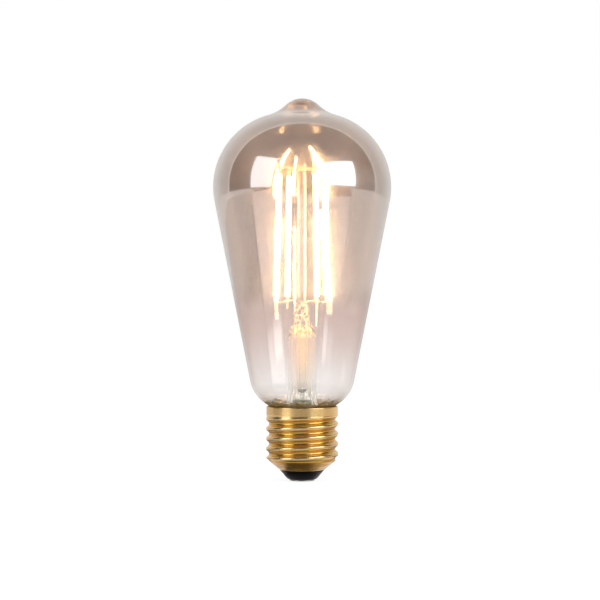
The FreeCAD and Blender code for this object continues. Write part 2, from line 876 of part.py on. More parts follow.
def surge_varistor():
    """Coated disc beyond the film capacitor, with leads that pass under it."""
    off_board = standoff + film_depth + board_gap + varistor_thickness / 2
    centre = on_board(film_x, off_board, varistor_z, 1)
    half = Vector(0, varistor_thickness / 2, 0)
    disc = rod(centre - half, centre + half, varistor_radius)
    rims = [edge for edge in disc.Edges if edge.BoundBox.YLength < seal_gap]
    disc = disc.makeFillet(varistor_thickness / 4, rims)
    for x, z, side in board_pins()[4:6]:
        route = [
            on_board(x, off_board, varistor_z - varistor_radius / 2, side),
            on_board(x, off_board, z, side),
            pin_end(x, z, side),
        ]
        disc = disc.fuse(round_wire(route, lead_radius, standoff / 2))
    return disc


def fusible_resistor():
    """Axial resistor with both leads bent in to the board."""
    off_board = resistor_radius + board_gap
    half = resistor_length / 2
    base = on_board(resistor_x, off_board, resistor_z - half, 1)
    body = Part.makeCylinder(resistor_radius, resistor_length, base)
    body = body.makeFillet(resistor_radius / 3, level_edges(body))
    for x, z, side in board_pins()[6:8]:
        route = [
            on_board(x, off_board, resistor_z, side),
            on_board(x, off_board, z, side),
            pin_end(x, z, side),
        ]
        body = body.fuse(round_wire(route, lead_radius, standoff / 2))
    return body


def choke_axis(off_board):
    return on_board(choke_x, off_board, choke_z, -1)


def choke_core():
    """Ferrite drum on two leads, standing out from the board."""
    near = standoff
    far = standoff + choke_height
    core = rod(choke_axis(near), choke_axis(far), choke_core_radius)
    flanges = [
        rod(choke_axis(near), choke_axis(near + choke_flange), choke_radius),
        rod(choke_axis(far - choke_flange), choke_axis(far), choke_radius),
    ]
    return with_pins(core.fuse(flanges), board_pins()[8:10], standoff)


def choke_winding():
    """Copper winding between the drum's flanges."""
    near = choke_axis(standoff + choke_flange + weld_gap)
    far = choke_axis(standoff + choke_height - choke_flange - weld_gap)
    coil = rod(near, far, choke_radius * 0.88)
    return coil.cut(rod(near, far, choke_core_radius + weld_gap))


def surface_part(x, z, width, depth, height, side=-1, off_board=weld_gap):
    """Box that lies on one face of the board."""
    return block(on_board(x, off_board + depth / 2, z, side), width, depth, height)


def bridge_rectifier():
    body = surface_part(rectifier_x, rectifier_z, rectifier_width, rectifier_depth, rectifier_height)
    return body.makeFillet(rectifier_depth / 6, body.Edges)


def driver_chip():
    body = surface_part(chip_x, chip_z, chip_width, chip_depth, chip_height, off_board=pin_thickness)
    return body.makeChamfer(chip_depth / 6, body.Edges)


def driver_chip_pins():
    """Eight bent pins, four on each long side of the chip."""
    pins = []
    knee_y = pin_thickness + chip_depth / 2
    for side in (-1, 1):
        for row in range(chip_pin_rows):
            z = chip_z + (row - (chip_pin_rows - 1) / 2) * chip_pin_pitch
            inner = chip_x + side * (chip_width / 2 + weld_gap)
            knee = inner + side * pin_thickness
            toe = inner + side * chip_pin_reach
            section = [
                (inner, knee_y),
                (knee + side * pin_thickness, knee_y),
                (knee + side * pin_thickness, weld_gap + pin_thickness),
                (toe, weld_gap + pin_thickness),
                (toe, weld_gap),
                (knee, weld_gap),
                (knee, knee_y - pin_thickness),
                (inner, knee_y - pin_thickness),
            ]
            corners = [on_board(x, off_board, z - chip_pin_width / 2, -1) for x, off_board in section]
            face = Part.Face(Part.makePolygon(corners + corners[:1]))
            pins.append(face.extrude(Vector(0, 0, chip_pin_width)))
    return Part.makeCompound(pins)


def radio_shield():
    """Sheet metal can over the radio, open towards the board."""
    middle_z = shield_bottom_z + shield_height / 2
    can = surface_part(0, middle_z, shield_width, shield_depth, shield_height)
    room = surface_part(
        0,
        middle_z,
        shield_width - 2 * shield_wall,
        shield_depth - shield_wall,
        shield_height - 2 * shield_wall,
        off_board=0,
    )
    upright = [edge for edge in can.Edges if edge.BoundBox.YLength > shield_wall]
    return can.makeFillet(shield_wall, upright).cut(room)


def radio_chip():
    middle_z = shield_bottom_z + shield_height / 2
    return surface_part(-shield_width / 5, middle_z, radio_chip_size, radio_chip_size / 4, radio_chip_size)


def crystal():
    middle_z = shield_bottom_z + shield_height / 2
    can = surface_part(shield_width / 4, middle_z, crystal_width, crystal_height / 3, crystal_height)
    upright = [edge for edge in can.Edges if edge.BoundBox.YLength > shield_wall]
    return can.makeFillet(crystal_height / 8, upright)


def antenna_trace():
    """Copper meander on the board's tongue."""
    bar_length = antenna_width - 4 * trace_width
    bottom = board_neck_top_z + 2 * trace_width
    count = int((antenna_top_z - bottom) / (3 * trace_width))
    trace = surface_part(-bar_length / 2, bottom, trace_width, trace_thickness, 3 * trace_width)
    for bar in range(count):
        z = bottom + (3 * bar + 1) * trace_width
        trace = trace.fuse(surface_part(0, z, bar_length + trace_width, trace_thickness, trace_width))
        if bar < count - 1:
            x = bar_length / 2 * (1 if bar % 2 == 0 else -1)
            rung = surface_part(x, z + 1.5 * trace_width, trace_width, trace_thickness, 4 * trace_width)
            trace = trace.fuse(rung)
    return trace.removeSplitter()


def chip_passives():
    """Column of small chip resistors and capacitors."""
    pieces = []
    for row in range(passive_count):
        z = passive_bottom_z + row * passive_pitch
        pieces.append(surface_part(passive_x, z, passive_length, passive_height, passive_width))
    return Part.makeCompound(pieces)


def solder_joints():
    """Solder cones round the leads, and drops that hold the wires to the board."""
    joints = []
    for x, z, side in board_pins():
        base = on_board(x, weld_gap, z, -side)
        cone = Part.makeCone(solder_radius, 1.5 * lead_radius, solder_height, base, Vector(0, -side, 0))
        joints.append(cone.cut(rod(base, pin_end(x, z, side), lead_radius + lead_gap)))
    keep_out = Part.makeBox(
        2 * sleeve_radius(), board_thickness + 2 * weld_gap, overall_length,
        Vector(-sleeve_radius(), -board_thickness / 2 - weld_gap, 0),
    )
    wires = []
    for side in (-1, 1):
        wires.append((lead_in_points(side), wire_radius))
    wires.append((contact_wire_points(), wire_radius))
    wires.append((side_wire_points(), side_wire_radius))
    for points, radius in wires:
        direction = (points[1] - points[0]).normalize()
        middle = points[0] + direction * solder_radius
        middle.y = math.copysign(board_thickness / 2, middle.y)
        drop = Part.makeSphere(radius + solder_radius, middle)
        core = rod(points[0] - direction, points[0] + direction * 4 * solder_radius, radius + lead_gap)
        joints.append(drop.cut(keep_out).cut(core))
    return Part.makeCompound(joints)


parts["glass_envelope"] = glass_envelope()
parts["glass_stem"] = stem()
parts["exhaust_tube"] = exhaust_tube()
parts["glass_rod"] = glass_rod()
for name, side in (("left", -1), ("right", 1)):
    parts["lead_in_wire_" + name] = round_wire(lead_in_points(side), wire_radius)
    parts["crossbar_" + name] = round_wire(crossbar_points(side), frame_wire_radius, crossbar_bend)
for pair, name in enumerate(("upper", "lower")):
    start, end = crosswire_line(pair)
    parts["crosswire_" + name] = rod(start, end, frame_wire_radius)
strip, coat, tabs = filament_pieces()
for index in range(filament_count):
    number = str(index + 1)
    parts["filament_strip_" + number] = filament_place(strip, index)
    parts["filament_coating_" + number] = filament_place(coat, index)
    parts["filament_tabs_" + number] = filament_place(tabs, index)
parts["screw_shell"] = screw_shell()
parts["insulator"] = insulator()
parts["centre_contact"] = centre_contact()
parts["contact_wire"] = round_wire(contact_wire_points(), wire_radius)
parts["side_wire"] = side_wire()
parts["side_solder"] = side_solder()
parts["basing_cement"] = basing_cement()
parts["insulating_sleeve"] = insulating_sleeve()
parts["driver_board"] = driver_board()
parts["filter_capacitor"] = filter_capacitor()
parts["film_capacitor"] = film_capacitor()
parts["surge_varistor"] = surge_varistor()
parts["fusible_resistor"] = fusible_resistor()
parts["choke_core"] = choke_core()
parts["choke_winding"] = choke_winding()
parts["bridge_rectifier"] = bridge_rectifier()
parts["driver_chip"] = driver_chip()
parts["driver_chip_pins"] = driver_chip_pins()
parts["radio_shield"] = radio_shield()
parts["radio_chip"] = radio_chip()
parts["crystal"] = crystal()
parts["antenna_trace"] = antenna_trace()
parts["chip_passives"] = chip_passives()
parts["solder_joints"] = solder_joints()

os.makedirs("parts", exist_ok=True)
for node, shape in parts.items():
    shape.exportStep("parts/" + node + ".step")
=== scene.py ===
"""Smart filament lamp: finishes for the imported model, five smoother pieces in it, and a plain studio."""
import json
import math

import bmesh
import bpy
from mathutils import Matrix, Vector, noise


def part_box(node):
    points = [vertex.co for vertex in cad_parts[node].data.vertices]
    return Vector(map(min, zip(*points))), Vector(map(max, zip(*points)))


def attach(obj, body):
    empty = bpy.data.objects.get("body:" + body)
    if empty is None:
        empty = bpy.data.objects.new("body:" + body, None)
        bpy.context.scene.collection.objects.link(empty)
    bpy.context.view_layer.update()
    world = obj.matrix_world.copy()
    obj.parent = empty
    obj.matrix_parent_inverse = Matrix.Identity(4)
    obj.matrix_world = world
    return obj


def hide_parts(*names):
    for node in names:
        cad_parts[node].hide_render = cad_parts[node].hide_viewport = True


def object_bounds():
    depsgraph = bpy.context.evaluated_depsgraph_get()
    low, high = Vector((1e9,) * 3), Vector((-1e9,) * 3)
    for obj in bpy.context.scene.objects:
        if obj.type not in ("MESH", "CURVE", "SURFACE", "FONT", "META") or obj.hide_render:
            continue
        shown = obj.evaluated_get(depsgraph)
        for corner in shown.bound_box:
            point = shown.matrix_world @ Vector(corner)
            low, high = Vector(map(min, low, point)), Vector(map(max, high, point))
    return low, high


MM = 0.001

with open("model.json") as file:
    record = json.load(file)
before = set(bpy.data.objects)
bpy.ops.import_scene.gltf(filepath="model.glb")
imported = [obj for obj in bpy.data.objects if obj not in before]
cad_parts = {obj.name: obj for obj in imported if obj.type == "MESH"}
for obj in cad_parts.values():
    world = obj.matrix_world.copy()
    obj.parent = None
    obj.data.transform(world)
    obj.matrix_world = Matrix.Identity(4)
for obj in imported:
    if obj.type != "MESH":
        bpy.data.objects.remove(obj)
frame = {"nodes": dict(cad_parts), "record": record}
cad_low, cad_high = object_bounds()


# ---------------------------------------------------------------- shaders
class Shader:
    """A material or a world whose nodes are made by short calls.

    Each value is a number, a colour or a vector, or else the socket that it comes from.
    """

    def __init__(self, owner):
        owner.use_nodes = True
        self.owner = owner
        self.tree = owner.node_tree
        self.tree.nodes.clear()

    def plug(self, socket, value):
        if isinstance(value, bpy.types.NodeSocket):
            self.tree.links.new(value, socket)
        elif socket.type == "RGBA":
            socket.default_value = (*value, 1)
        else:
            socket.default_value = value

    def node(self, kind, inputs=None, **settings):
        made = self.tree.nodes.new("ShaderNode" + kind)
        for name, value in settings.items():
            setattr(made, name, value)
        for name, value in (inputs or {}).items():
            self.plug(made.inputs[name], value)
        return made

    def math(self, operation, *values, clamp=False):
        inputs = dict(enumerate(values))
        return self.node("Math", inputs, operation=operation, use_clamp=clamp).outputs[0]

    def times(self, first, *others):
        for other in others:
            first = self.math("MULTIPLY", first, other)
        return first

    def most(self, first, *others):
        for other in others:
            first = self.math("MAXIMUM", first, other)
        return first

    def linear(self, value, slope, start, clamp=False):
        """The value times its slope, plus the start."""
        return self.math("MULTIPLY_ADD", value, slope, start, clamp=clamp)

    def inverse(self, share):
        return self.math("SUBTRACT", 1.0, share)

    def ramp(self, value, low, high, to_low=0.0, to_high=1.0):
        """A smooth step of a value from one level to another."""
        inputs = {"Value": value, "From Min": low, "From Max": high, "To Min": to_low, "To Max": to_high}
        return self.node("MapRange", inputs, interpolation_type="SMOOTHSTEP").outputs["Result"]

    def band(self, value, rise, fall):
        """1 between two soft edges, each of which is given by where it is 0 and where it is 1."""
        return self.times(self.ramp(value, *rise), self.ramp(value, *fall))

    def colours(self, share, first, second):
        made = self.node("Mix", None, data_type="RGBA")
        for name, value in {"Factor": share, "A": first, "B": second}.items():
            self.plug(next(s for s in made.inputs if s.name == name and s.enabled), value)
        return next(s for s in made.outputs if s.enabled)

    def place(self):
        return self.node("TexCoord").outputs["Object"]

    def axes(self, vector):
        made = self.node("SeparateXYZ", {"Vector": vector})
        return [made.outputs[name] for name in "XYZ"]

    def scaled(self, vector, factor):
        return self.node("VectorMath", {0: vector, "Scale": factor}, operation="SCALE").outputs[0]

    def length(self, vector):
        return self.node("VectorMath", {0: vector}, operation="LENGTH").outputs["Value"]

    def noise(self, scale, detail=3.0, roughness=0.5, stretch=(1, 1, 1)):
        """Noise in the object's own space; scale counts features per metre."""
        where = self.node("Mapping", {"Vector": self.place(), "Scale": stretch}).outputs[0]
        inputs = {"Vector": where, "Scale": scale, "Detail": detail, "Roughness": roughness}
        return self.node("TexNoise", inputs).outputs["Fac"]

    def bump(self, height, distance):
        inputs = {"Height": height, "Distance": distance, "Strength": 1.0}
        return self.node("Bump", inputs).outputs["Normal"]

    def backfacing(self):
        return self.node("NewGeometry").outputs["Backfacing"]

    def grazing(self, power):
        """0 where the surface is seen square on, rising to 1 at grazing."""
        return self.math("POWER", self.node("LayerWeight", {"Blend": 0.5}).outputs["Facing"], power)

    def principled(self, inputs):
        return self.node("BsdfPrincipled", inputs).outputs[0]

    def metal(self, colour, roughness):
        return self.principled({"Base Color": colour, "Metallic": 1.0, "Roughness": roughness})

    def pane(self, tint):
        return self.node("BsdfTransparent", {"Color": tint}).outputs[0]

    def light(self, kind, strength, colour=(1, 1, 1)):
        return self.node(kind, {"Color": colour, "Strength": strength}).outputs[0]

    def mix(self, share, first, second):
        return self.node("MixShader", {0: share, 1: first, 2: second}).outputs[0]

    def show(self, surface, kind="OutputMaterial"):
        self.node(kind, {"Surface": surface})
        return self.owner


def new_shader(name):
    return Shader(bpy.data.materials.new(name))


def plain(
    name, colour, roughness, metallic=0.0, spread=0.12, grain=900.0, bump=0.00002,
    coat=0.0, stretch=(1, 1, 1), gloss=0.5, glow=0.0,
):
    """Opaque finish with mottled colour, uneven roughness and a fine surface grain.

    spread is the share by which the colour wanders, grain counts features per metre, bump is their height,
    and glow is the strength of a painted warm glow.
    """
    s = new_shader(name)
    mottle = s.noise(grain, 4.0, 0.6, stretch)
    coarse = s.noise(grain * 0.13, 2.0, 0.5, stretch)
    dark = tuple(c * (1 - spread) for c in colour)
    light = tuple(min(1.0, c * (1 + spread)) for c in colour)
    inputs = {
        "Base Color": s.colours(s.linear(mottle, 0.5, s.times(coarse, 0.5)), dark, light),
        "Metallic": metallic,
        "Roughness": s.linear(mottle, roughness * 0.5, roughness * 0.75),
        "Coat Weight": coat,
        "Specular IOR Level": gloss,
        # painted glow: colour and strength of a warm glow on a part that is no lamp
        "Emission Color": (1.0, 0.72, 0.34),
        "Emission Strength": glow,
        "Normal": s.bump(mottle, bump),
    }
    return s.show(s.principled(inputs))


# Heights and radii in the shaders are metres, and a pair of them is where a change starts and ends.
# neck band: a painted image of the brass and cement seen through the glass
BAND_EDGE, BAND_VEIL = (0.0293, 0.0285), (0.0325, 0.0282)
BAND_BLOTS, BAND_GRAIN, BAND_DROP = 0.0058, 0.0010, -0.0034  # how far its edge wanders, and its mean
GOLD_EDGE = (0.0286, 0.0279)
VEIL_TINT = (0.74, 0.63, 0.46)


def neck_band(s, height):
    """Brass and cement seen through the thick neck glass: share of what shows there, and colour.

    What shows there is painted, as an image of the view through the glass: a gold band runs along the
    collar, with ragged olive blots above it.
    """
    blots = s.noise(330.0, 4.0, 0.75, (1, 1, 1.4))
    grain = s.noise(1300.0, 3.0, 0.6, (1, 1, 2.5))
    ragged = s.linear(blots, BAND_BLOTS, s.linear(grain, BAND_GRAIN, BAND_DROP))
    share = s.ramp(s.math("ADD", height, ragged), *BAND_EDGE, 0.0, 0.88)
    veil = s.ramp(height, *BAND_VEIL, 0.0, 0.30)
    olive = s.colours(s.ramp(grain, 0.35, 0.65), (0.080, 0.054, 0.020), (0.50, 0.37, 0.15))
    gold = s.colours(s.ramp(grain, 0.3, 0.7), (0.16, 0.10, 0.018), (0.72, 0.50, 0.16))
    colour = s.colours(s.ramp(height, *GOLD_EDGE), olive, gold)
    return s.most(share, veil), s.colours(share, VEIL_TINT, colour)


# shares of light that the coat and the bare glass mirror: seen square on, and added to that at grazing
COAT_MIRROR, COAT_MIRROR_GRAZING = 0.34, 0.50
BARE_MIRROR, BARE_MIRROR_GRAZING, LEAST_MIRROR = 0.095, 0.25, 0.006
# share of the mirror image that is blurred, what the cloud adds to it, and the narrow blur's share in that
COAT_HAZE, CLOUD_HAZE, HALO_SHARE = 0.42, 0.10, 0.80
HAZE_SIDES = (-0.0125, 0.0125, 0.80, 1.12)  # from one X to another, and the haze's strength at each
COAT_FADE, COAT_UNEVEN = (0.0390, 0.0650), 0.006
MIRROR_FADE, OUTSIDE_SHIFT = (0.0680, 0.0760), (-0.007, 0.003)
# the pip's painted dark shade: heights where it starts and ends, and how far it dulls the mirror
PIP_SHADE_FADE, PIP_SHADE_DULLS = (0.1338, 0.1352), -0.75
CLEAR_TINT = (0.985, 0.975, 0.965)
COAT_TINT_LOW = (0.818, 0.712, 0.676)
COAT_TINT_THIN = (0.79, 0.66, 0.595)
COAT_TINT_THICK = (0.67, 0.545, 0.48)
CLEAR_TINT_GRAZING, LOW_TINT_GRAZING = (0.80, 0.77, 0.75), (0.74, 0.66, 0.63)
COAT_TINT_GRAZING = (0.54, 0.465, 0.44)
# tint of the pip's painted dark shade
PIP_SHADE_TINT = (0.60, 0.44, 0.37)


def smoked_coat():
    """Semi-mirror coat on the bulb's outer face: it mirrors a third and browns what passes.

    It thins out above the lower shoulder. In the pip it has a painted dark brown shade and a duller
    mirror, standing in for the dark inside of the bulb that the pip mirrors.
    """
    s = new_shader("smoked_coat")
    x, _, height = s.axes(s.place())
    streaks = s.noise(260.0, 3.0, 0.55, (1, 1, 0.12))
    cloud = s.noise(45.0, 2.0, 0.5)
    level = s.math("ADD", height, s.linear(streaks, COAT_UNEVEN, s.times(cloud, COAT_UNEVEN)))
    coated = s.ramp(level, *COAT_FADE, 0.16, 1.0)
    outside = s.inverse(s.backfacing())
    mirrored = s.ramp(level, *(s.linear(outside, by, at) for by, at in zip(OUTSIDE_SHIFT, MIRROR_FADE)))
    # painted shade in the pip, strongest where it is seen square on
    pip_painted_shade = s.times(s.ramp(height, *PIP_SHADE_FADE), s.inverse(s.grazing(1.0)))

    bare = s.times(s.linear(s.grazing(5.0), BARE_MIRROR_GRAZING, BARE_MIRROR), outside)
    mirror = s.times(s.linear(s.grazing(1.6), COAT_MIRROR_GRAZING, COAT_MIRROR), mirrored)
    mirror = s.times(mirror, s.linear(pip_painted_shade, PIP_SHADE_DULLS, 1.0))
    mirror = s.most(mirror, s.most(bare, LEAST_MIRROR))

    thick = s.colours(s.linear(streaks, 0.24, 0.38), COAT_TINT_THIN, COAT_TINT_THICK)
    tint = s.colours(coated, CLEAR_TINT, s.colours(mirrored, COAT_TINT_LOW, thick))
    deep = s.colours(mirrored, s.colours(coated, CLEAR_TINT_GRAZING, LOW_TINT_GRAZING), COAT_TINT_GRAZING)
    tint = s.colours(s.grazing(1.7), tint, deep)
    tint = s.colours(pip_painted_shade, tint, PIP_SHADE_TINT)

    # the mirror image is sharp, with a narrow and a wide blur of it laid over
    film = s.metal((0.96, 0.93, 0.91), s.linear(s.times(cloud, outside), 0.03, 0.003))
    haze = s.metal((1.0, 0.94, 0.84), 0.36)
    halo = s.metal((1.0, 0.96, 0.88), 0.18)
    hazed = s.times(s.linear(cloud, CLOUD_HAZE, COAT_HAZE), s.ramp(x, *HAZE_SIDES), mirrored)
    coat = s.mix(mirror, s.pane(tint), s.mix(hazed, film, s.mix(HALO_SHARE, haze, halo)))

    # painted image of the brass and cement that the neck glass shows; the cement surface below carries it
    share, colour = neck_band(s, height)
    cement = s.principled({"Base Color": colour, "Metallic": 0.9, "Roughness": 0.5})
    return s.show(s.mix(share, coat, cement))


def clear_face():
    """Inner face of the bulb: clear glass that only mirrors."""
    s = new_shader("clear_face")
    wave = s.noise(60.0, 1.0, 0.4, (1, 1, 0.35))
    inputs = {"Base Color": (1, 1, 1), "Metallic": 1.0, "Roughness": 0.0, "Normal": s.bump(wave, 0.00003)}
    share = s.linear(s.grazing(5.0), 0.55, 0.015, clamp=True)
    return s.show(s.mix(share, s.pane((0.99, 0.985, 0.98)), s.principled(inputs)))


PINCH_EDGES = (0.0515, 0.0540), (0.0665, 0.0645)
PINCH_STRANDS, PINCH_RISE = (0.0600, 0.0570), (0.0535, 0.0600)
TUBE_EDGES, TUBE_SOFT = ((0.0340, 0.0520), (0.0560, 0.0520)), (0.0545, 0.0505)
ROD_EDGE = (0.0660, 0.0700)
# heights of the foot's painted bright lines, its dark drawing lines and its painted cool gleam
FOOT_BRIGHT, FOOT_DARK, FOOT_COOL = (0.0350, 0.0300), (0.0370, 0.0310), (0.0400, 0.0350)
BODY_WARMS = (0.0300, 0.0480)


def solid_glass():
    """Pressed glass of the stem and rod. It bends light, and lets the lamps' light through.

    Its pinch is creased above and stringy below, with a painted warm glow for the filaments' light that it
    catches. The tube and the rod have a softer painted glow, and the foot has painted bright lines with a
    painted cool gleam, and dark drawing lines.
    """
    s = new_shader("stem_glass")
    height = s.axes(s.place())[2]
    ripple = s.noise(260.0, 2.0, 0.5)
    fibres = s.noise(900.0, 4.0, 0.7, (1, 1, 0.35))
    strands = s.ramp(s.noise(1000.0, 3.0, 0.7, (1, 1, 0.16)), 0.50, 0.60, 0.0, 1.4)
    lines = s.noise(1500.0, 2.0, 0.6, (1, 1, 0.04))
    wobble = s.scaled(s.node("TexNoise", {"Vector": s.place(), "Scale": 500.0}).outputs["Color"], 0.5)
    where = s.node("VectorMath", {0: s.scaled(s.place(), 560.0), 1: wobble}, operation="ADD").outputs[0]
    cells = s.node("TexVoronoi", {"Vector": where, "Scale": 1.0}, feature="DISTANCE_TO_EDGE")
    cells = cells.outputs["Distance"]
    creases = s.ramp(cells, 0.13, 0.04)
    pinch = s.band(height, *PINCH_EDGES)
    rod = s.ramp(height, *ROD_EDGE)

    # all the emission here is a painted glow: the glass is no lamp, and it stands in for the filaments'
    # light that the pinch, tube, rod and foot catch
    stringy = s.ramp(height, *PINCH_STRANDS)
    bright = s.linear(creases, 0.8, s.times(s.ramp(fibres, 0.50, 0.72), 0.6))
    bright = s.math("ADD", s.times(bright, s.inverse(stringy)), s.times(strands, stringy))
    bright = s.times(bright, s.ramp(height, *PINCH_RISE, 0.45, 1.0))
    bright = s.times(bright, s.linear(s.inverse(s.backfacing()), 1.35, 0.15))
    streaks = s.times(s.ramp(s.noise(900.0, 2.0, 0.5, (1, 1, 0.03)), 0.50, 0.70), 0.03)
    foot = s.times(s.ramp(height, *FOOT_BRIGHT), s.ramp(lines, 0.46, 0.62))
    glow = s.linear(s.band(height, *TUBE_EDGES), s.math("ADD", streaks, 0.055), s.times(pinch, bright))
    glow = s.linear(rod, s.linear(fibres, 0.10, 0.12), glow)
    glow = s.linear(foot, 0.18, glow)
    warm = s.colours(creases, (1.0, 0.55, 0.16), (1.0, 0.82, 0.40))
    warm = s.colours(s.most(rod, s.ramp(height, *TUBE_SOFT)), warm, (1.0, 0.90, 0.74))

    body = s.colours(s.ramp(height, *BODY_WARMS), (0.97, 0.96, 0.95), (1.0, 0.93, 0.85))
    drawn = s.times(s.ramp(height, *FOOT_DARK), s.ramp(lines, 0.56, 0.42))
    relief = s.linear(s.times(s.math("MINIMUM", cells, 0.25), pinch), 6.0, s.times(ripple, 0.3))
    inputs = {
        "Base Color": s.colours(drawn, body, (0.72, 0.73, 0.70)),
        "Roughness": s.times(pinch, 0.06),
        "IOR": 1.38,
        "Transmission Weight": 1.0,
        "Normal": s.bump(relief, 0.00010),
        "Emission Color": s.colours(s.ramp(height, *FOOT_COOL), warm, (0.86, 0.90, 0.88)),
        "Emission Strength": glow,
    }
    shadow = s.node("LightPath").outputs["Is Shadow Ray"]
    return s.show(s.mix(shadow, s.principled(inputs), s.pane((0.95, 0.93, 0.9))))


CHIP_PITCH, FILAMENT_LIGHT = 0.0016, 54.0


def lit_phosphor():
    """Silicone with yellow phosphor over rows of lit chips."""
    s = new_shader("lit_phosphor")
    height = s.axes(s.place())[2]
    chips = s.math("SINE", s.times(height, 2 * math.pi / CHIP_PITCH))
    grains = s.noise(5200.0, 3.0, 0.6)
    glow = s.linear(chips, 0.06, s.linear(grains, 0.2, 0.85))
    inputs = {
        "Base Color": (0.95, 0.62, 0.16),
        "Roughness": 0.45,
        "Normal": s.bump(grains, 0.00003),
        "Emission Color": (1.0, 0.79, 0.46),
        "Emission Strength": s.times(glow, FILAMENT_LIGHT),
    }
    return s.show(s.principled(inputs))


# radii over which the crests are worn bright, and heights where the cone's painted dark patches start and
# end
WORN_RADII, CONE_EDGE = (0.01215, 0.01315), (0.0078, 0.0060)


def rolled_brass():
    """Brass sheet with fine rolling marks round it.

    It is worn bright on its crests and deeper in tone in its grooves. Low on its cone it has patches in
    spun rings with a painted dark shade, which turn paler towards grazing as a painted sheen.
    """
    s = new_shader("rolled_brass")
    marks = s.noise(700.0, 4.0, 0.6, (1, 1, 9))
    patina = s.noise(160.0, 3.0, 0.55)
    spun = s.noise(240.0, 3.0, 0.6, (1, 1, 5))
    x, y, height = s.axes(s.place())
    flat = s.node("CombineXYZ", {"X": x, "Y": y}).outputs[0]
    worn = s.ramp(s.linear(patina, 0.0003, s.length(flat)), *WORN_RADII)
    grooves = s.colours(patina, (0.64, 0.325, 0.038), (0.82, 0.46, 0.085))
    crests = s.colours(patina, (0.80, 0.50, 0.160), (0.98, 0.69, 0.330))
    # painted shade on the cone's patches, paler at grazing as a painted sheen
    cone = s.colours(s.ramp(spun, 0.36, 0.62), (0.36, 0.13, 0.004), (0.84, 0.44, 0.060))
    cone = s.colours(s.ramp(s.grazing(1.0), 0.42, 0.72, 0.0, 0.60), cone, (1.0, 0.86, 0.62))
    low = s.times(s.ramp(height, *CONE_EDGE), s.ramp(spun, 0.34, 0.56))
    inputs = {
        "Base Color": s.colours(low, s.colours(worn, grooves, crests), cone),
        "Metallic": 1.0,
        "Roughness": s.linear(marks, 0.06, s.linear(patina, 0.08, 0.185)),
        "Normal": s.bump(marks, 0.000005),
        "Coat Weight": 0.3,
        "Coat Roughness": 0.18,
    }
    return s.show(s.principled(inputs))


WIRE_TURN = 0.00022


def wound_copper():
    """Enamelled copper wire, whose turns lie side by side along Y."""
    s = new_shader("wound_copper")
    depth = s.axes(s.place())[1]
    turns = s.math("SINE", s.times(depth, 2 * math.pi / WIRE_TURN))
    inputs = {
        "Base Color": s.colours(s.noise(2500.0), (0.62, 0.25, 0.09), (0.82, 0.42, 0.18)),
        "Metallic": 0.9,
        "Roughness": 0.3,
        "Normal": s.bump(turns, 0.00006),
    }
    return s.show(s.principled(inputs))


# ---------------------------------------------------------------- finishes
WIRE_GRAIN = dict(spread=0.06, grain=3000.0, bump=0.000004)
PLAIN = {
    "nickel_wire": dict(
        colour=(0.86, 0.80, 0.68), roughness=0.42, metallic=0.15, stretch=(1, 1, 0.1), **WIRE_GRAIN
    ),
    # painted warm glow and a warmer colour on wires that are no lamp, standing in for the filaments' light
    "lit_wire": dict(
        colour=(0.92, 0.80, 0.56), roughness=0.4, metallic=0.1, stretch=(0.1, 1, 1), glow=1.1, **WIRE_GRAIN
    ),
    "strip_ceramic": dict(colour=(0.85, 0.83, 0.78), roughness=0.6),
    "contact_brass": dict(
        colour=(0.80, 0.77, 0.70), roughness=0.35, metallic=1.0, grain=1500.0, bump=0.000006
    ),
    "cap_insulator": dict(
        colour=(0.004, 0.003, 0.0025), roughness=0.15, spread=0.2, grain=700.0, bump=0.00001, gloss=0.2
    ),
    "solder": dict(colour=(0.66, 0.66, 0.65), roughness=0.34, metallic=1.0, spread=0.1, grain=1800.0),
    "cement": dict(colour=(0.60, 0.52, 0.40), roughness=0.85, spread=0.2, grain=1400.0, bump=0.00008),
    "sleeve_plastic": dict(
        colour=(0.84, 0.83, 0.79), roughness=0.5, spread=0.04, grain=2500.0, bump=0.00001
    ),
    "board_laminate": dict(
        colour=(0.07, 0.12, 0.05), roughness=0.32, spread=0.15, grain=1200.0, bump=0.00001, coat=0.3
    ),
    "capacitor_can": dict(
        colour=(0.05, 0.05, 0.06), roughness=0.25, spread=0.1, grain=1500.0, bump=0.000008, coat=0.5
    ),
    "film_box": dict(colour=(0.60, 0.30, 0.05), roughness=0.3, spread=0.08, grain=1500.0, bump=0.00001),
    "varistor_coat": dict(colour=(0.04, 0.12, 0.40), roughness=0.25, spread=0.1, bump=0.00003, coat=0.4),
    "resistor_body": dict(colour=(0.25, 0.38, 0.25), roughness=0.6, grain=1800.0),
    "ferrite": dict(colour=(0.06, 0.055, 0.055), roughness=0.55, spread=0.2, grain=2200.0),
    "moulded_package": dict(
        colour=(0.025, 0.025, 0.027), roughness=0.45, spread=0.15, grain=2600.0, bump=0.00001
    ),
    "tinned_pin": dict(
        colour=(0.74, 0.74, 0.73), roughness=0.3, metallic=1.0, spread=0.05, grain=2400.0, bump=0.000005
    ),
    "shield_tin": dict(
        colour=(0.70, 0.70, 0.69), roughness=0.32, metallic=1.0, spread=0.06, bump=0.00001,
        stretch=(1, 1, 6),
    ),
    "copper_trace": dict(
        colour=(0.75, 0.45, 0.20), roughness=0.35, metallic=0.8, spread=0.1, grain=1600.0, bump=0.000006
    ),
    "chip_ceramic": dict(colour=(0.50, 0.40, 0.28), roughness=0.5, grain=2400.0, bump=0.00001),
}
finishes = {
    "smoked_glass": smoked_coat(),
    "clear_face": clear_face(),
    "stem_glass": solid_glass(),
    "phosphor": lit_phosphor(),
    "cap_brass": rolled_brass(),
    "magnet_wire": wound_copper(),
    **{name: plain(name, **settings) for name, settings in PLAIN.items()},
}


def dress(node_name, material):
    for place in frame["nodes"][node_name].material_slots:
        place.material = material


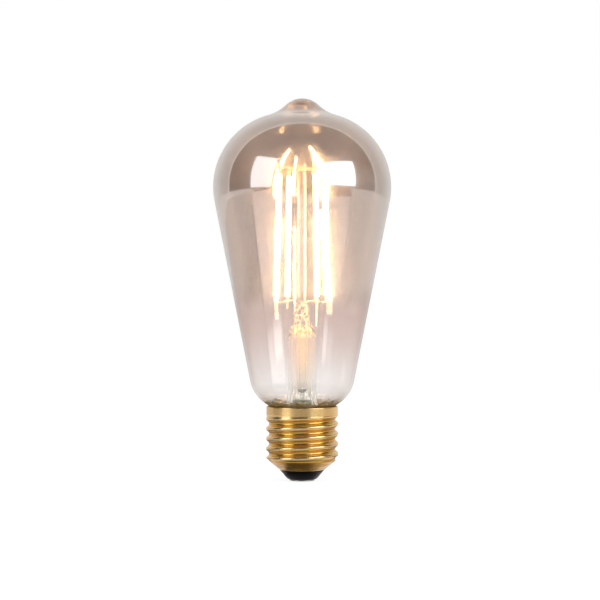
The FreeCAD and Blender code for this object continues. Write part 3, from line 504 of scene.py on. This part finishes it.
for entry in frame["record"]["subparts"]:
    dress(entry["node"], finishes[entry["material_slot"]])
# the wires and tabs that touch the filaments get a painted warm glow, standing in for the filaments' light
# on them
for name in ["crosswire_upper", "crosswire_lower", *(f"filament_tabs_{number}" for number in range(1, 5))]:
    dress(name, finishes["lit_wire"])


# ---------------------------------------------------------------- geometry helpers
def piece(name, rings, materials, replaced, face_slot=None, sharp=40):
    """Closed skin through rings of points, each ring either a loop of one length or a single point.

    face_slot gives the material's place for the strip of faces above a ring, and edges over the sharp
    angle, in degrees, aren't smoothed.
    """
    mesh = bpy.data.meshes.new(name)
    work = bmesh.new()
    rows = [[work.verts.new(p) for p in ring] for ring in rings]
    for index, (low, high) in enumerate(zip(rows, rows[1:])):
        count = max(len(low), len(high))
        for i in range(count):
            j = (i + 1) % count
            corners = [low[i % len(low)], low[j % len(low)], high[j % len(high)], high[i % len(high)]]
            face = work.faces.new(list(dict.fromkeys(corners)))
            face.smooth = True
            if face_slot:
                face.material_index = face_slot(index)
    bmesh.ops.recalc_face_normals(work, faces=work.faces)
    work.to_mesh(mesh)
    work.free()
    mesh.set_sharp_from_angle(angle=math.radians(sharp))
    made = bpy.data.objects.new(name, mesh)
    bpy.context.scene.collection.objects.link(made)
    for material in materials:
        mesh.materials.append(material)
    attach(made, "root")
    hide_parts(*replaced)


def circle(radius, z, count=160):
    """Ring round the axis, in millimetres; at radius 0 it is a single point."""
    if radius == 0:
        return [Vector((0, 0, z * MM))]
    return [
        Vector((radius * math.cos(a) * MM, radius * math.sin(a) * MM, z * MM))
        for a in (2 * math.pi * i / count for i in range(count))
    ]


def arc_points(centre, radius, first, last, step=2.0):
    """Points of an arc (radius, height) between two angles of its normal, in degrees."""
    count = max(2, math.ceil(abs(last - first) / step))
    angles = [math.radians(first + (last - first) * i / count) for i in range(count + 1)]
    return [(centre[0] + radius * math.cos(a), centre[1] + radius * math.sin(a)) for a in angles]


def rounded(points, radius, steps=5):
    """A straight-sided profile with its inner corners rounded."""
    out = [points[0]]
    for before, corner, after in zip(points, points[1:], points[2:]):
        b, c, a = Vector(before), Vector(corner), Vector(after)
        reach = min(radius, 0.45 * (b - c).length, 0.45 * (a - c).length)
        start = c + (b - c).normalized() * reach
        end = c + (a - c).normalized() * reach
        for i in range(steps + 1):
            t = i / steps
            out.append(tuple(start.lerp(c, t).lerp(c.lerp(end, t), t)))
    out.append(points[-1])
    return out


def smooth(t):
    """A step from 0 to 1 with level ends."""
    t = max(0.0, min(1.0, t))
    return t * t * (3 - 2 * t)


# ---------------------------------------------------------------- glass bulb
# Sizes from here to the studio are millimetres and degrees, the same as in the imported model.
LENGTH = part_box("glass_envelope")[1].z / MM
PIP, PIP_FLARE, CROWN, SHOULDER, NECK_FILLET = 8.7, 16.6, 27.1, 13.0, 3.8
BULB_R, EQUATOR = 32.5, LENGTH - 32.4
CONE, SLOPE = 11.25, 55.0
NECK, NECK_Z, SEAL_Z, WALL = 11.15, 24.6, 20.0, 0.9
LONGEST_RUN, SAME_POINT = 4.0, 0.01


def unit(angle):
    return Vector((math.cos(math.radians(angle)), math.sin(math.radians(angle))))


def bulb_arcs():
    """Tangent arcs of the bulb from its tip to its neck: centre, radius, first and last angle."""
    pip = Vector((0, LENGTH - PIP))
    crown = Vector((BULB_R - CROWN, EQUATOR))
    far, near = PIP + PIP_FLARE, CROWN + PIP_FLARE
    between = crown - pip
    along = (far**2 - near**2 + between.length**2) / (2 * between.length)
    ahead = between.normalized()
    hollow = pip + ahead * along + Vector((-ahead.y, ahead.x)) * math.sqrt(far**2 - along**2)
    pip_angle = math.degrees(math.atan2(*reversed(hollow - pip)))
    crown_angle = math.degrees(math.atan2(*reversed(hollow - crown)))
    neck = Vector((NECK + NECK_FILLET, NECK_Z))
    a, b = unit(-CONE), unit(-SLOPE)
    reach_a = crown.dot(a) + CROWN - SHOULDER
    reach_b = neck.dot(b) - NECK_FILLET - SHOULDER
    across = a.x * b.y - a.y * b.x
    shoulder_x = (reach_a * b.y - reach_b * a.y) / across
    shoulder = Vector((shoulder_x, (reach_b * a.x - reach_a * b.x) / across))
    return [
        (pip, PIP, 90, pip_angle),
        (hollow, -PIP_FLARE, pip_angle, crown_angle),
        (crown, CROWN, crown_angle, -CONE),
        (shoulder, SHOULDER, -CONE, -SLOPE),
        (neck, -NECK_FILLET, -SLOPE, 0),
    ]


def bulb_outline(inward):
    """Radius and height of the bulb's face from its tip to its seal, so far inside the outer one."""
    points = []
    for centre, radius, first, last in bulb_arcs():
        reached = arc_points(centre, radius - inward, first, last)
        if points:
            gap = Vector(reached[0]) - Vector(points[-1])
            runs = math.ceil(gap.length / LONGEST_RUN)
            points += [tuple(Vector(points[-1]) + gap * i / runs) for i in range(1, runs)]
            if gap.length < SAME_POINT:
                reached = reached[1:]
        points += reached
    points[0] = (0, points[0][1])
    return points + [(NECK - inward, SEAL_Z)]


inner, outer = bulb_outline(WALL), bulb_outline(0)
piece(
    "glass_bulb",
    [circle(r, z) for r, z in inner + outer[::-1]],
    [finishes["clear_face"], finishes["smoked_glass"]],
    ["glass_envelope"],
    lambda index: 0 if index < len(inner) - 1 else 1,
)


# ---------------------------------------------------------------- glass mount
FLARE_R, FLARE_X, FLARE_Z = 22.0, 27.1, 34.145
TUBE_R, TUBE_WALL = 5.1, 1
PINCH_Z, PINCH_TOP, PINCH_LUMPS = 52.5, 64.0, 0.12
# share of the pinch's height, and its half widths there along X and Y
PINCH_SHAPE = [
    (0.0, 5.1, 5.1), (0.18, 4.6, 4.9), (0.52, 2.99, 4.52),
    (0.75, 2.6, 4.3), (0.94, 2.55, 4.2), (1.0, 2.2, 3.6),
]
PINCH_STRAIGHT = 0.7  # share of the height above which its sides run straight between these
ROD, ROD_TOP = 1.5, LENGTH - 25.6
BUTTON_R, BUTTON_HALF = 1.95, 1.8


def oval(half_x, half_y, z, count=96, lumps=0.0):
    """Ring round the axis in millimetres, with gentle lumps that are a share of its size."""
    ring = []
    for i in range(count):
        a = 2 * math.pi * i / count
        p = Vector((half_x * math.cos(a), half_y * math.sin(a), z))
        grow = 1 + lumps * noise.noise(Vector((p.x * 0.55, p.y * 0.55, z * 0.75)))
        ring.append(Vector((p.x * grow, p.y * grow, z)) * MM)
    return ring


def flare_and_tube(wall, first):
    """Rings of the flare and of the tube above it, a wall's thickness inside the outer face."""
    rings = []
    for i in range(first, 15):
        z = SEAL_Z - 1 + (FLARE_Z - SEAL_Z + 1) * i / 14
        r = FLARE_X - math.sqrt((FLARE_R + wall) ** 2 - (FLARE_Z - z) ** 2)
        rings.append(oval(r, r, z))
    for i in range(1, 8):
        rings.append(oval(TUBE_R - wall, TUBE_R - wall, FLARE_Z + (PINCH_Z - FLARE_Z) * i / 8))
    return rings


def mount_outside():
    """Rings of the mount's outer face: flare, tube, pressed pinch, rod and button."""
    rings = flare_and_tube(0, 1)
    for (a, ax, ay), (b, bx, by) in zip(PINCH_SHAPE, PINCH_SHAPE[1:]):
        for i in range(6):
            t = i / 6
            eased = smooth(t) if a < PINCH_STRAIGHT else t
            level = a + (b - a) * t
            z = PINCH_Z + (PINCH_TOP - PINCH_Z) * level
            lumps = PINCH_LUMPS * min(1, 6 * level)
            rings.append(oval(ax + (bx - ax) * eased, ay + (by - ay) * eased, z, lumps=lumps))
    # the pinch closes round the foot of the rod
    rings.append(oval(1.75, 2.4, PINCH_TOP + 0.05, lumps=0.05))
    rings.append(oval(ROD * 1.05, ROD * 1.15, PINCH_TOP + 0.25))
    for i in range(1, 24):
        rings.append(oval(ROD, ROD, PINCH_TOP + 0.6 + (ROD_TOP - 2.6 - PINCH_TOP) * i / 24))
    for i in range(4, 16):
        a = math.pi * i / 16
        r = max(BUTTON_R * math.sin(a), ROD if i == 4 else 0)
        rings.append(oval(r, r, ROD_TOP - BUTTON_HALF * math.cos(a)))
    rings.append(circle(0, ROD_TOP + BUTTON_HALF))
    return rings


def mount_inside():
    """Rings of the mount's bore, which a dome closes below the pinch."""
    rings = flare_and_tube(TUBE_WALL, 0)
    bore = TUBE_R - TUBE_WALL
    for i in range(12):
        a = math.pi / 2 * i / 12
        rings.append(oval(bore * math.cos(a), bore * math.cos(a), PINCH_Z + bore * math.sin(a)))
    rings.append(circle(0, PINCH_Z + bore))
    return rings


foot = [oval(NECK, NECK, SEAL_Z - 1), oval(NECK, NECK, SEAL_Z)]
piece(
    "glass_mount",
    mount_inside()[::-1] + foot + mount_outside(),
    [finishes["stem_glass"]],
    ["glass_stem", "glass_rod"],
)


# ---------------------------------------------------------------- screw shell
CREST, ROOT, PITCH, CREST_Z = 13.2, 12.1, 3.629, 20.72
COLLAR, CONE_TOP, LIP, LIP_Z, RIM_Z, SHEET = 13.05, 12.2, 8.15, 3.95, 27.1, 0.3
THREAD_LOW, THREAD_HIGH, FADE_HIGH = 7.4, 24.2, 2.2
LIP_INWARD, LIP_ROUND = 0.22, 0.08
OUTER_STEP, INNER_STEP = 0.14, 0.3


def thread_radius(angle, z, inward):
    """Radius of the rolled sheet: tangent crest and root arcs that fade into the cone and the collar."""
    depth, half = CREST - ROOT, PITCH / 2
    bend = (half**2 + depth**2) / (4 * depth)
    past = (z - CREST_Z - PITCH * angle / (2 * math.pi)) % PITCH
    away = min(past, PITCH - past)
    if away < half * (bend - inward) / (2 * bend):
        wave = CREST - bend + math.sqrt((bend - inward) ** 2 - away**2)
    else:
        wave = ROOT + bend - math.sqrt((bend + inward) ** 2 - (half - away) ** 2)
    above, below = smooth((THREAD_HIGH - z) / FADE_HIGH), smooth(z - THREAD_LOW)
    level = COLLAR if below == 1 else CONE_TOP
    return level - inward + (wave - level + inward) * above * below


def shell_ring(z, inward, count=240):
    """Ring of the sheet at a height, so far inside its outer face."""
    ring = []
    for i in range(count):
        a = 2 * math.pi * i / count
        if z < THREAD_LOW:
            slope = (CONE_TOP - LIP) / (THREAD_LOW - LIP_Z)
            r = LIP + (z - LIP_Z) * slope - inward * math.hypot(1, slope)
        elif z > THREAD_HIGH:
            r = COLLAR - inward
        else:
            r = thread_radius(a, z, inward)
        ring.append(Vector((r * math.cos(a) * MM, r * math.sin(a) * MM, z * MM)))
    return ring


def levels(low, high, step):
    """Heights from low to high in even steps, none longer than step."""
    count = math.ceil((high - low) / step)
    return [low + (high - low) * i / count for i in range(count + 1)]


def rolled_shell():
    """Rings up the sheet's outer face, over its rounded rim and down its inner face."""
    edge = SHEET / 2
    rings = [shell_ring(LIP_Z, LIP_INWARD), shell_ring(LIP_Z + 0.02, LIP_ROUND)]
    rings += [shell_ring(z, 0) for z in levels(LIP_Z + 0.12, RIM_Z - edge, OUTER_STEP)]
    for angle in (30, 60, 90, 120, 150):
        a = math.radians(angle)
        rings.append(shell_ring(RIM_Z - edge + edge * math.sin(a), edge - edge * math.cos(a)))
    rings += [shell_ring(z, SHEET) for z in reversed(levels(LIP_Z + 0.02, RIM_Z - edge, INNER_STEP))]
    rings.append(shell_ring(LIP_Z, LIP_INWARD))
    return rings


piece("brass_shell", rolled_shell(), [finishes["cap_brass"]], ["screw_shell"], sharp=50)


# ---------------------------------------------------------------- insulator and contact
INSULATOR_FILLET, RIVET_FILLET = 0.45, 0.28
# radius and height of each corner
INSULATOR_PROFILE = [
    (1.4, 0.42), (4.65, 0.42), (5.4, 0.72), (8.15, 3.92), (7.65, 3.92), (10.75, 6.6),
    (9.0, 6.6), (3.2, 3.2), (1.4, 3.2), (1.4, 0.42),
]
RIVET_PROFILE = [
    (0.0, 0.0), (0.9, 0.0), (1.3, 0.0), (4.6, 0.0), (4.6, 0.4), (0.75, 0.4), (0.75, 4.6), (0.0, 4.6)
]


def turned(name, profile, fillet, slot, replaced):
    """Turned piece with a rounded profile."""
    rings = [circle(r, z, 128) for r, z in rounded(profile, fillet)]
    piece(name, rings, [finishes[slot]], replaced)


turned("cap_insulator_ring", INSULATOR_PROFILE, INSULATOR_FILLET, "cap_insulator", ["insulator"])
turned("contact_rivet", RIVET_PROFILE, RIVET_FILLET, "contact_brass", ["centre_contact"])


# ---------------------------------------------------------------- studio
# Azimuths run from the camera's side towards +X, in degrees; lengths are metres again.
FRONT, SECTOR_EDGE = (-68, 65), 1.5
DARK, NEAR_SIDE, FAR_SIDE = 0.05, 0.60, 0.72
FLOOR_HALF, FLOOR_DROP, FLOOR_SHADOW = 0.65, 0.00005, 0.12
WIDE_STRIP = (-67, -34)
# first and last azimuth and strength of each bright strip of floor that the glass mirrors
BRIGHT_STRIPS = [(-53, -37, 4.2), (37, 58, 1.5), (38, 46, 3.0), (90, 104, 1.6)]


def sector(s, x, y, first, last):
    """1 between two azimuths."""
    azimuth = s.math("ARCTAN2", x, s.times(y, -1.0))
    rise = [math.radians(first + edge) for edge in (-SECTOR_EDGE, SECTOR_EDGE)]
    fall = [math.radians(last + edge) for edge in (SECTOR_EDGE, -SECTOR_EDGE)]
    return s.band(azimuth, rise, fall)


def scenery(s, seen_white, mirrored, diffuse):
    """What camera and transmission rays, glossy rays and the rest each meet."""
    path = s.node("LightPath")
    through = s.most(path.outputs["Is Camera Ray"], path.outputs["Is Transmission Ray"])
    return s.mix(through, s.mix(path.outputs["Is Glossy Ray"], diffuse, mirrored), seen_white)


def studio_room(world):
    """White behind the lamp, and a dark room with a pale far wall and pale low sides in its mirrors."""
    s = Shader(world)
    generated = s.node("TexCoord").outputs["Generated"]
    x, y, z = s.axes(s.node("VectorMath", {0: generated}, operation="NORMALIZE").outputs[0])
    beside = s.inverse(sector(s, x, y, *FRONT))
    below = s.linear(s.times(beside, s.ramp(z, -0.045, -0.080)), FAR_SIDE, DARK)
    overhead = s.ramp(z, 0.40, 0.75, DARK, 0.13)
    wall = s.times(s.ramp(y, 0.295, 0.335), s.ramp(y, 0.45, 0.90, 0.54, 0.77))
    wall = s.linear(s.band(y, (0.295, 0.325), (0.365, 0.335)), 0.45, wall)
    right = s.ramp(x, 0.88, 0.97, 0.0, 0.20)
    mirrored = s.light("Background", s.most(wall, below, overhead, right))
    s.show(scenery(s, s.light("Background", 1.0), mirrored, s.light("Background", 0.75)), "OutputWorld")


def white_floor():
    """White paper with a faint shadow, and a floor with bright strips in the lamp's mirrors."""
    s = new_shader("white_floor")
    x, y, _ = s.axes(s.place())
    away = s.length(s.place())
    paper = s.colours(s.noise(300.0, 2.0), (0.80, 0.80, 0.80), (0.82, 0.82, 0.82))
    diffuse = s.node("BsdfDiffuse", {"Color": paper}).outputs[0]
    twice = s.node("AddShader", {0: diffuse, 1: diffuse}).outputs[0]
    lit = s.mix(FLOOR_SHADOW, s.light("Emission", 1.0), twice)

    # in front, which ends at a slanting far edge
    front = s.most(s.times(sector(s, x, y, -67.5, 66), 0.86), sector(s, x, y, 42, 69))
    front = s.times(front, s.ramp(s.linear(x, -0.62, y), -0.46, -0.44))
    front = s.times(front, s.ramp(away, 0.05, 0.12, 0.70, 1.0))
    front = s.times(front, s.ramp(away, 0.26, 0.42, 0.94, 0.68))
    behind = s.ramp(y, 0.02, 0.10, 0.0, 0.58)

    # to the sides
    beside = s.inverse(sector(s, x, y, *FRONT))
    sides = s.most(
        s.ramp(away, 0.26, 0.38, NEAR_SIDE, FAR_SIDE),
        s.ramp(away, 0.29, 0.21, NEAR_SIDE, 1.0),
        s.times(s.ramp(x, 0.02, 0.06), s.ramp(away, 0.34, 0.22, 0.80, 1.04)),
    )
    dim = s.most(s.ramp(away, 0.050, 0.110, 0.30, 1.0), s.ramp(away, 0.032, 0.018, 0.0, 1.0))
    sides = s.times(s.times(beside, sides), s.times(dim, s.ramp(x, -0.02, 0.02, 0.88, 1.0)))

    # bright strips nearer the lamp
    wide = s.times(sector(s, x, y, *WIDE_STRIP), s.ramp(away, 0.060, 0.130, 0.55, 2.3))
    narrow = [s.times(sector(s, x, y, first, last), light) for first, last, light in BRIGHT_STRIPS]
    narrow = s.times(s.most(*narrow), s.ramp(away, 0.105, 0.140))
    strips = s.times(s.most(wide, narrow), s.ramp(away, 0.20, 0.15))

    # the lamp's own shade, which its cap mirrors
    flanks = s.most(s.ramp(x, -0.0070, -0.0100), s.ramp(x, 0.0020, 0.0090))
    ring = s.math("MINIMUM", s.ramp(away, 0.022, 0.0095), s.ramp(away, 0.0048, 0.0085))
    shade = s.times(ring, s.linear(flanks, -0.50, 0.82))

    strength = s.times(s.most(front, behind, sides, strips, DARK), s.inverse(shade))
    mirrored = s.light("Emission", strength, s.colours(beside, (1.0, 1.0, 1.0), (1.0, 0.93, 0.91)))
    return s.show(scenery(s, lit, mirrored, diffuse))


studio = bpy.data.worlds.new("studio")
bpy.context.scene.world = studio
studio_room(studio)

floor_mesh = bpy.data.meshes.new("floor")
corners = [(x * FLOOR_HALF, y * FLOOR_HALF, 0) for x, y in ((-1, -1), (1, -1), (1, 1), (-1, 1))]
floor_mesh.from_pydata(corners, [], [(0, 1, 2, 3)])
floor_mesh.materials.append(white_floor())
floor = bpy.data.objects.new("floor", floor_mesh)
floor.location.z = cad_low.z - FLOOR_DROP
bpy.context.scene.collection.objects.link(floor)


LAMPS_AIM, LAMPS_AWAY = 0.11, 1.2


def softbox(name, azimuth, elevation, width, height, radiance, colour):
    """Rectangular lamp; its place and its size are angles in degrees as the object sees them."""
    a, e = math.radians(azimuth), math.radians(elevation)
    away = Vector((math.sin(a) * math.cos(e), -math.cos(a) * math.cos(e), math.sin(e)))
    lamp = bpy.data.lights.new(name, "AREA")
    lamp.shape = "RECTANGLE"
    lamp.size = 2 * LAMPS_AWAY * math.tan(math.radians(width / 2))
    lamp.size_y = 2 * LAMPS_AWAY * math.tan(math.radians(height / 2))
    lamp.energy = radiance * math.pi * lamp.size * lamp.size_y
    lamp.color = colour
    made = bpy.data.objects.new(name, lamp)
    made.location = Vector((0, 0, LAMPS_AIM)) + away * LAMPS_AWAY
    made.rotation_euler = away.to_track_quat("Z", "Y").to_euler()
    bpy.context.scene.collection.objects.link(made)


softbox("softbox_left", -53.5, 17.5, 31, 41, 2.15, (0.84, 0.91, 1.0))
softbox("softbox_right", 48.5, 15.5, 47, 33, 3.05, (0.88, 0.94, 1.0))

camera_data = bpy.data.cameras.new("camera")
camera_data.lens = 115
camera_data.sensor_width = 36
camera = bpy.data.objects.new("camera", camera_data)
camera.location = (-0.000785, -0.7, 0.0659)
camera.rotation_euler = (math.radians(90), 0, 0)
bpy.context.scene.collection.objects.link(camera)
bpy.context.scene.camera = camera
bpy.context.scene.view_settings.view_transform = "Standard"
bpy.context.scene.cycles.transparent_max_bounces = 24
bpy.context.scene.cycles.max_bounces = 16
bpy.context.scene.cycles.transmission_bounces = 14
bpy.context.scene.cycles.glossy_bounces = 8
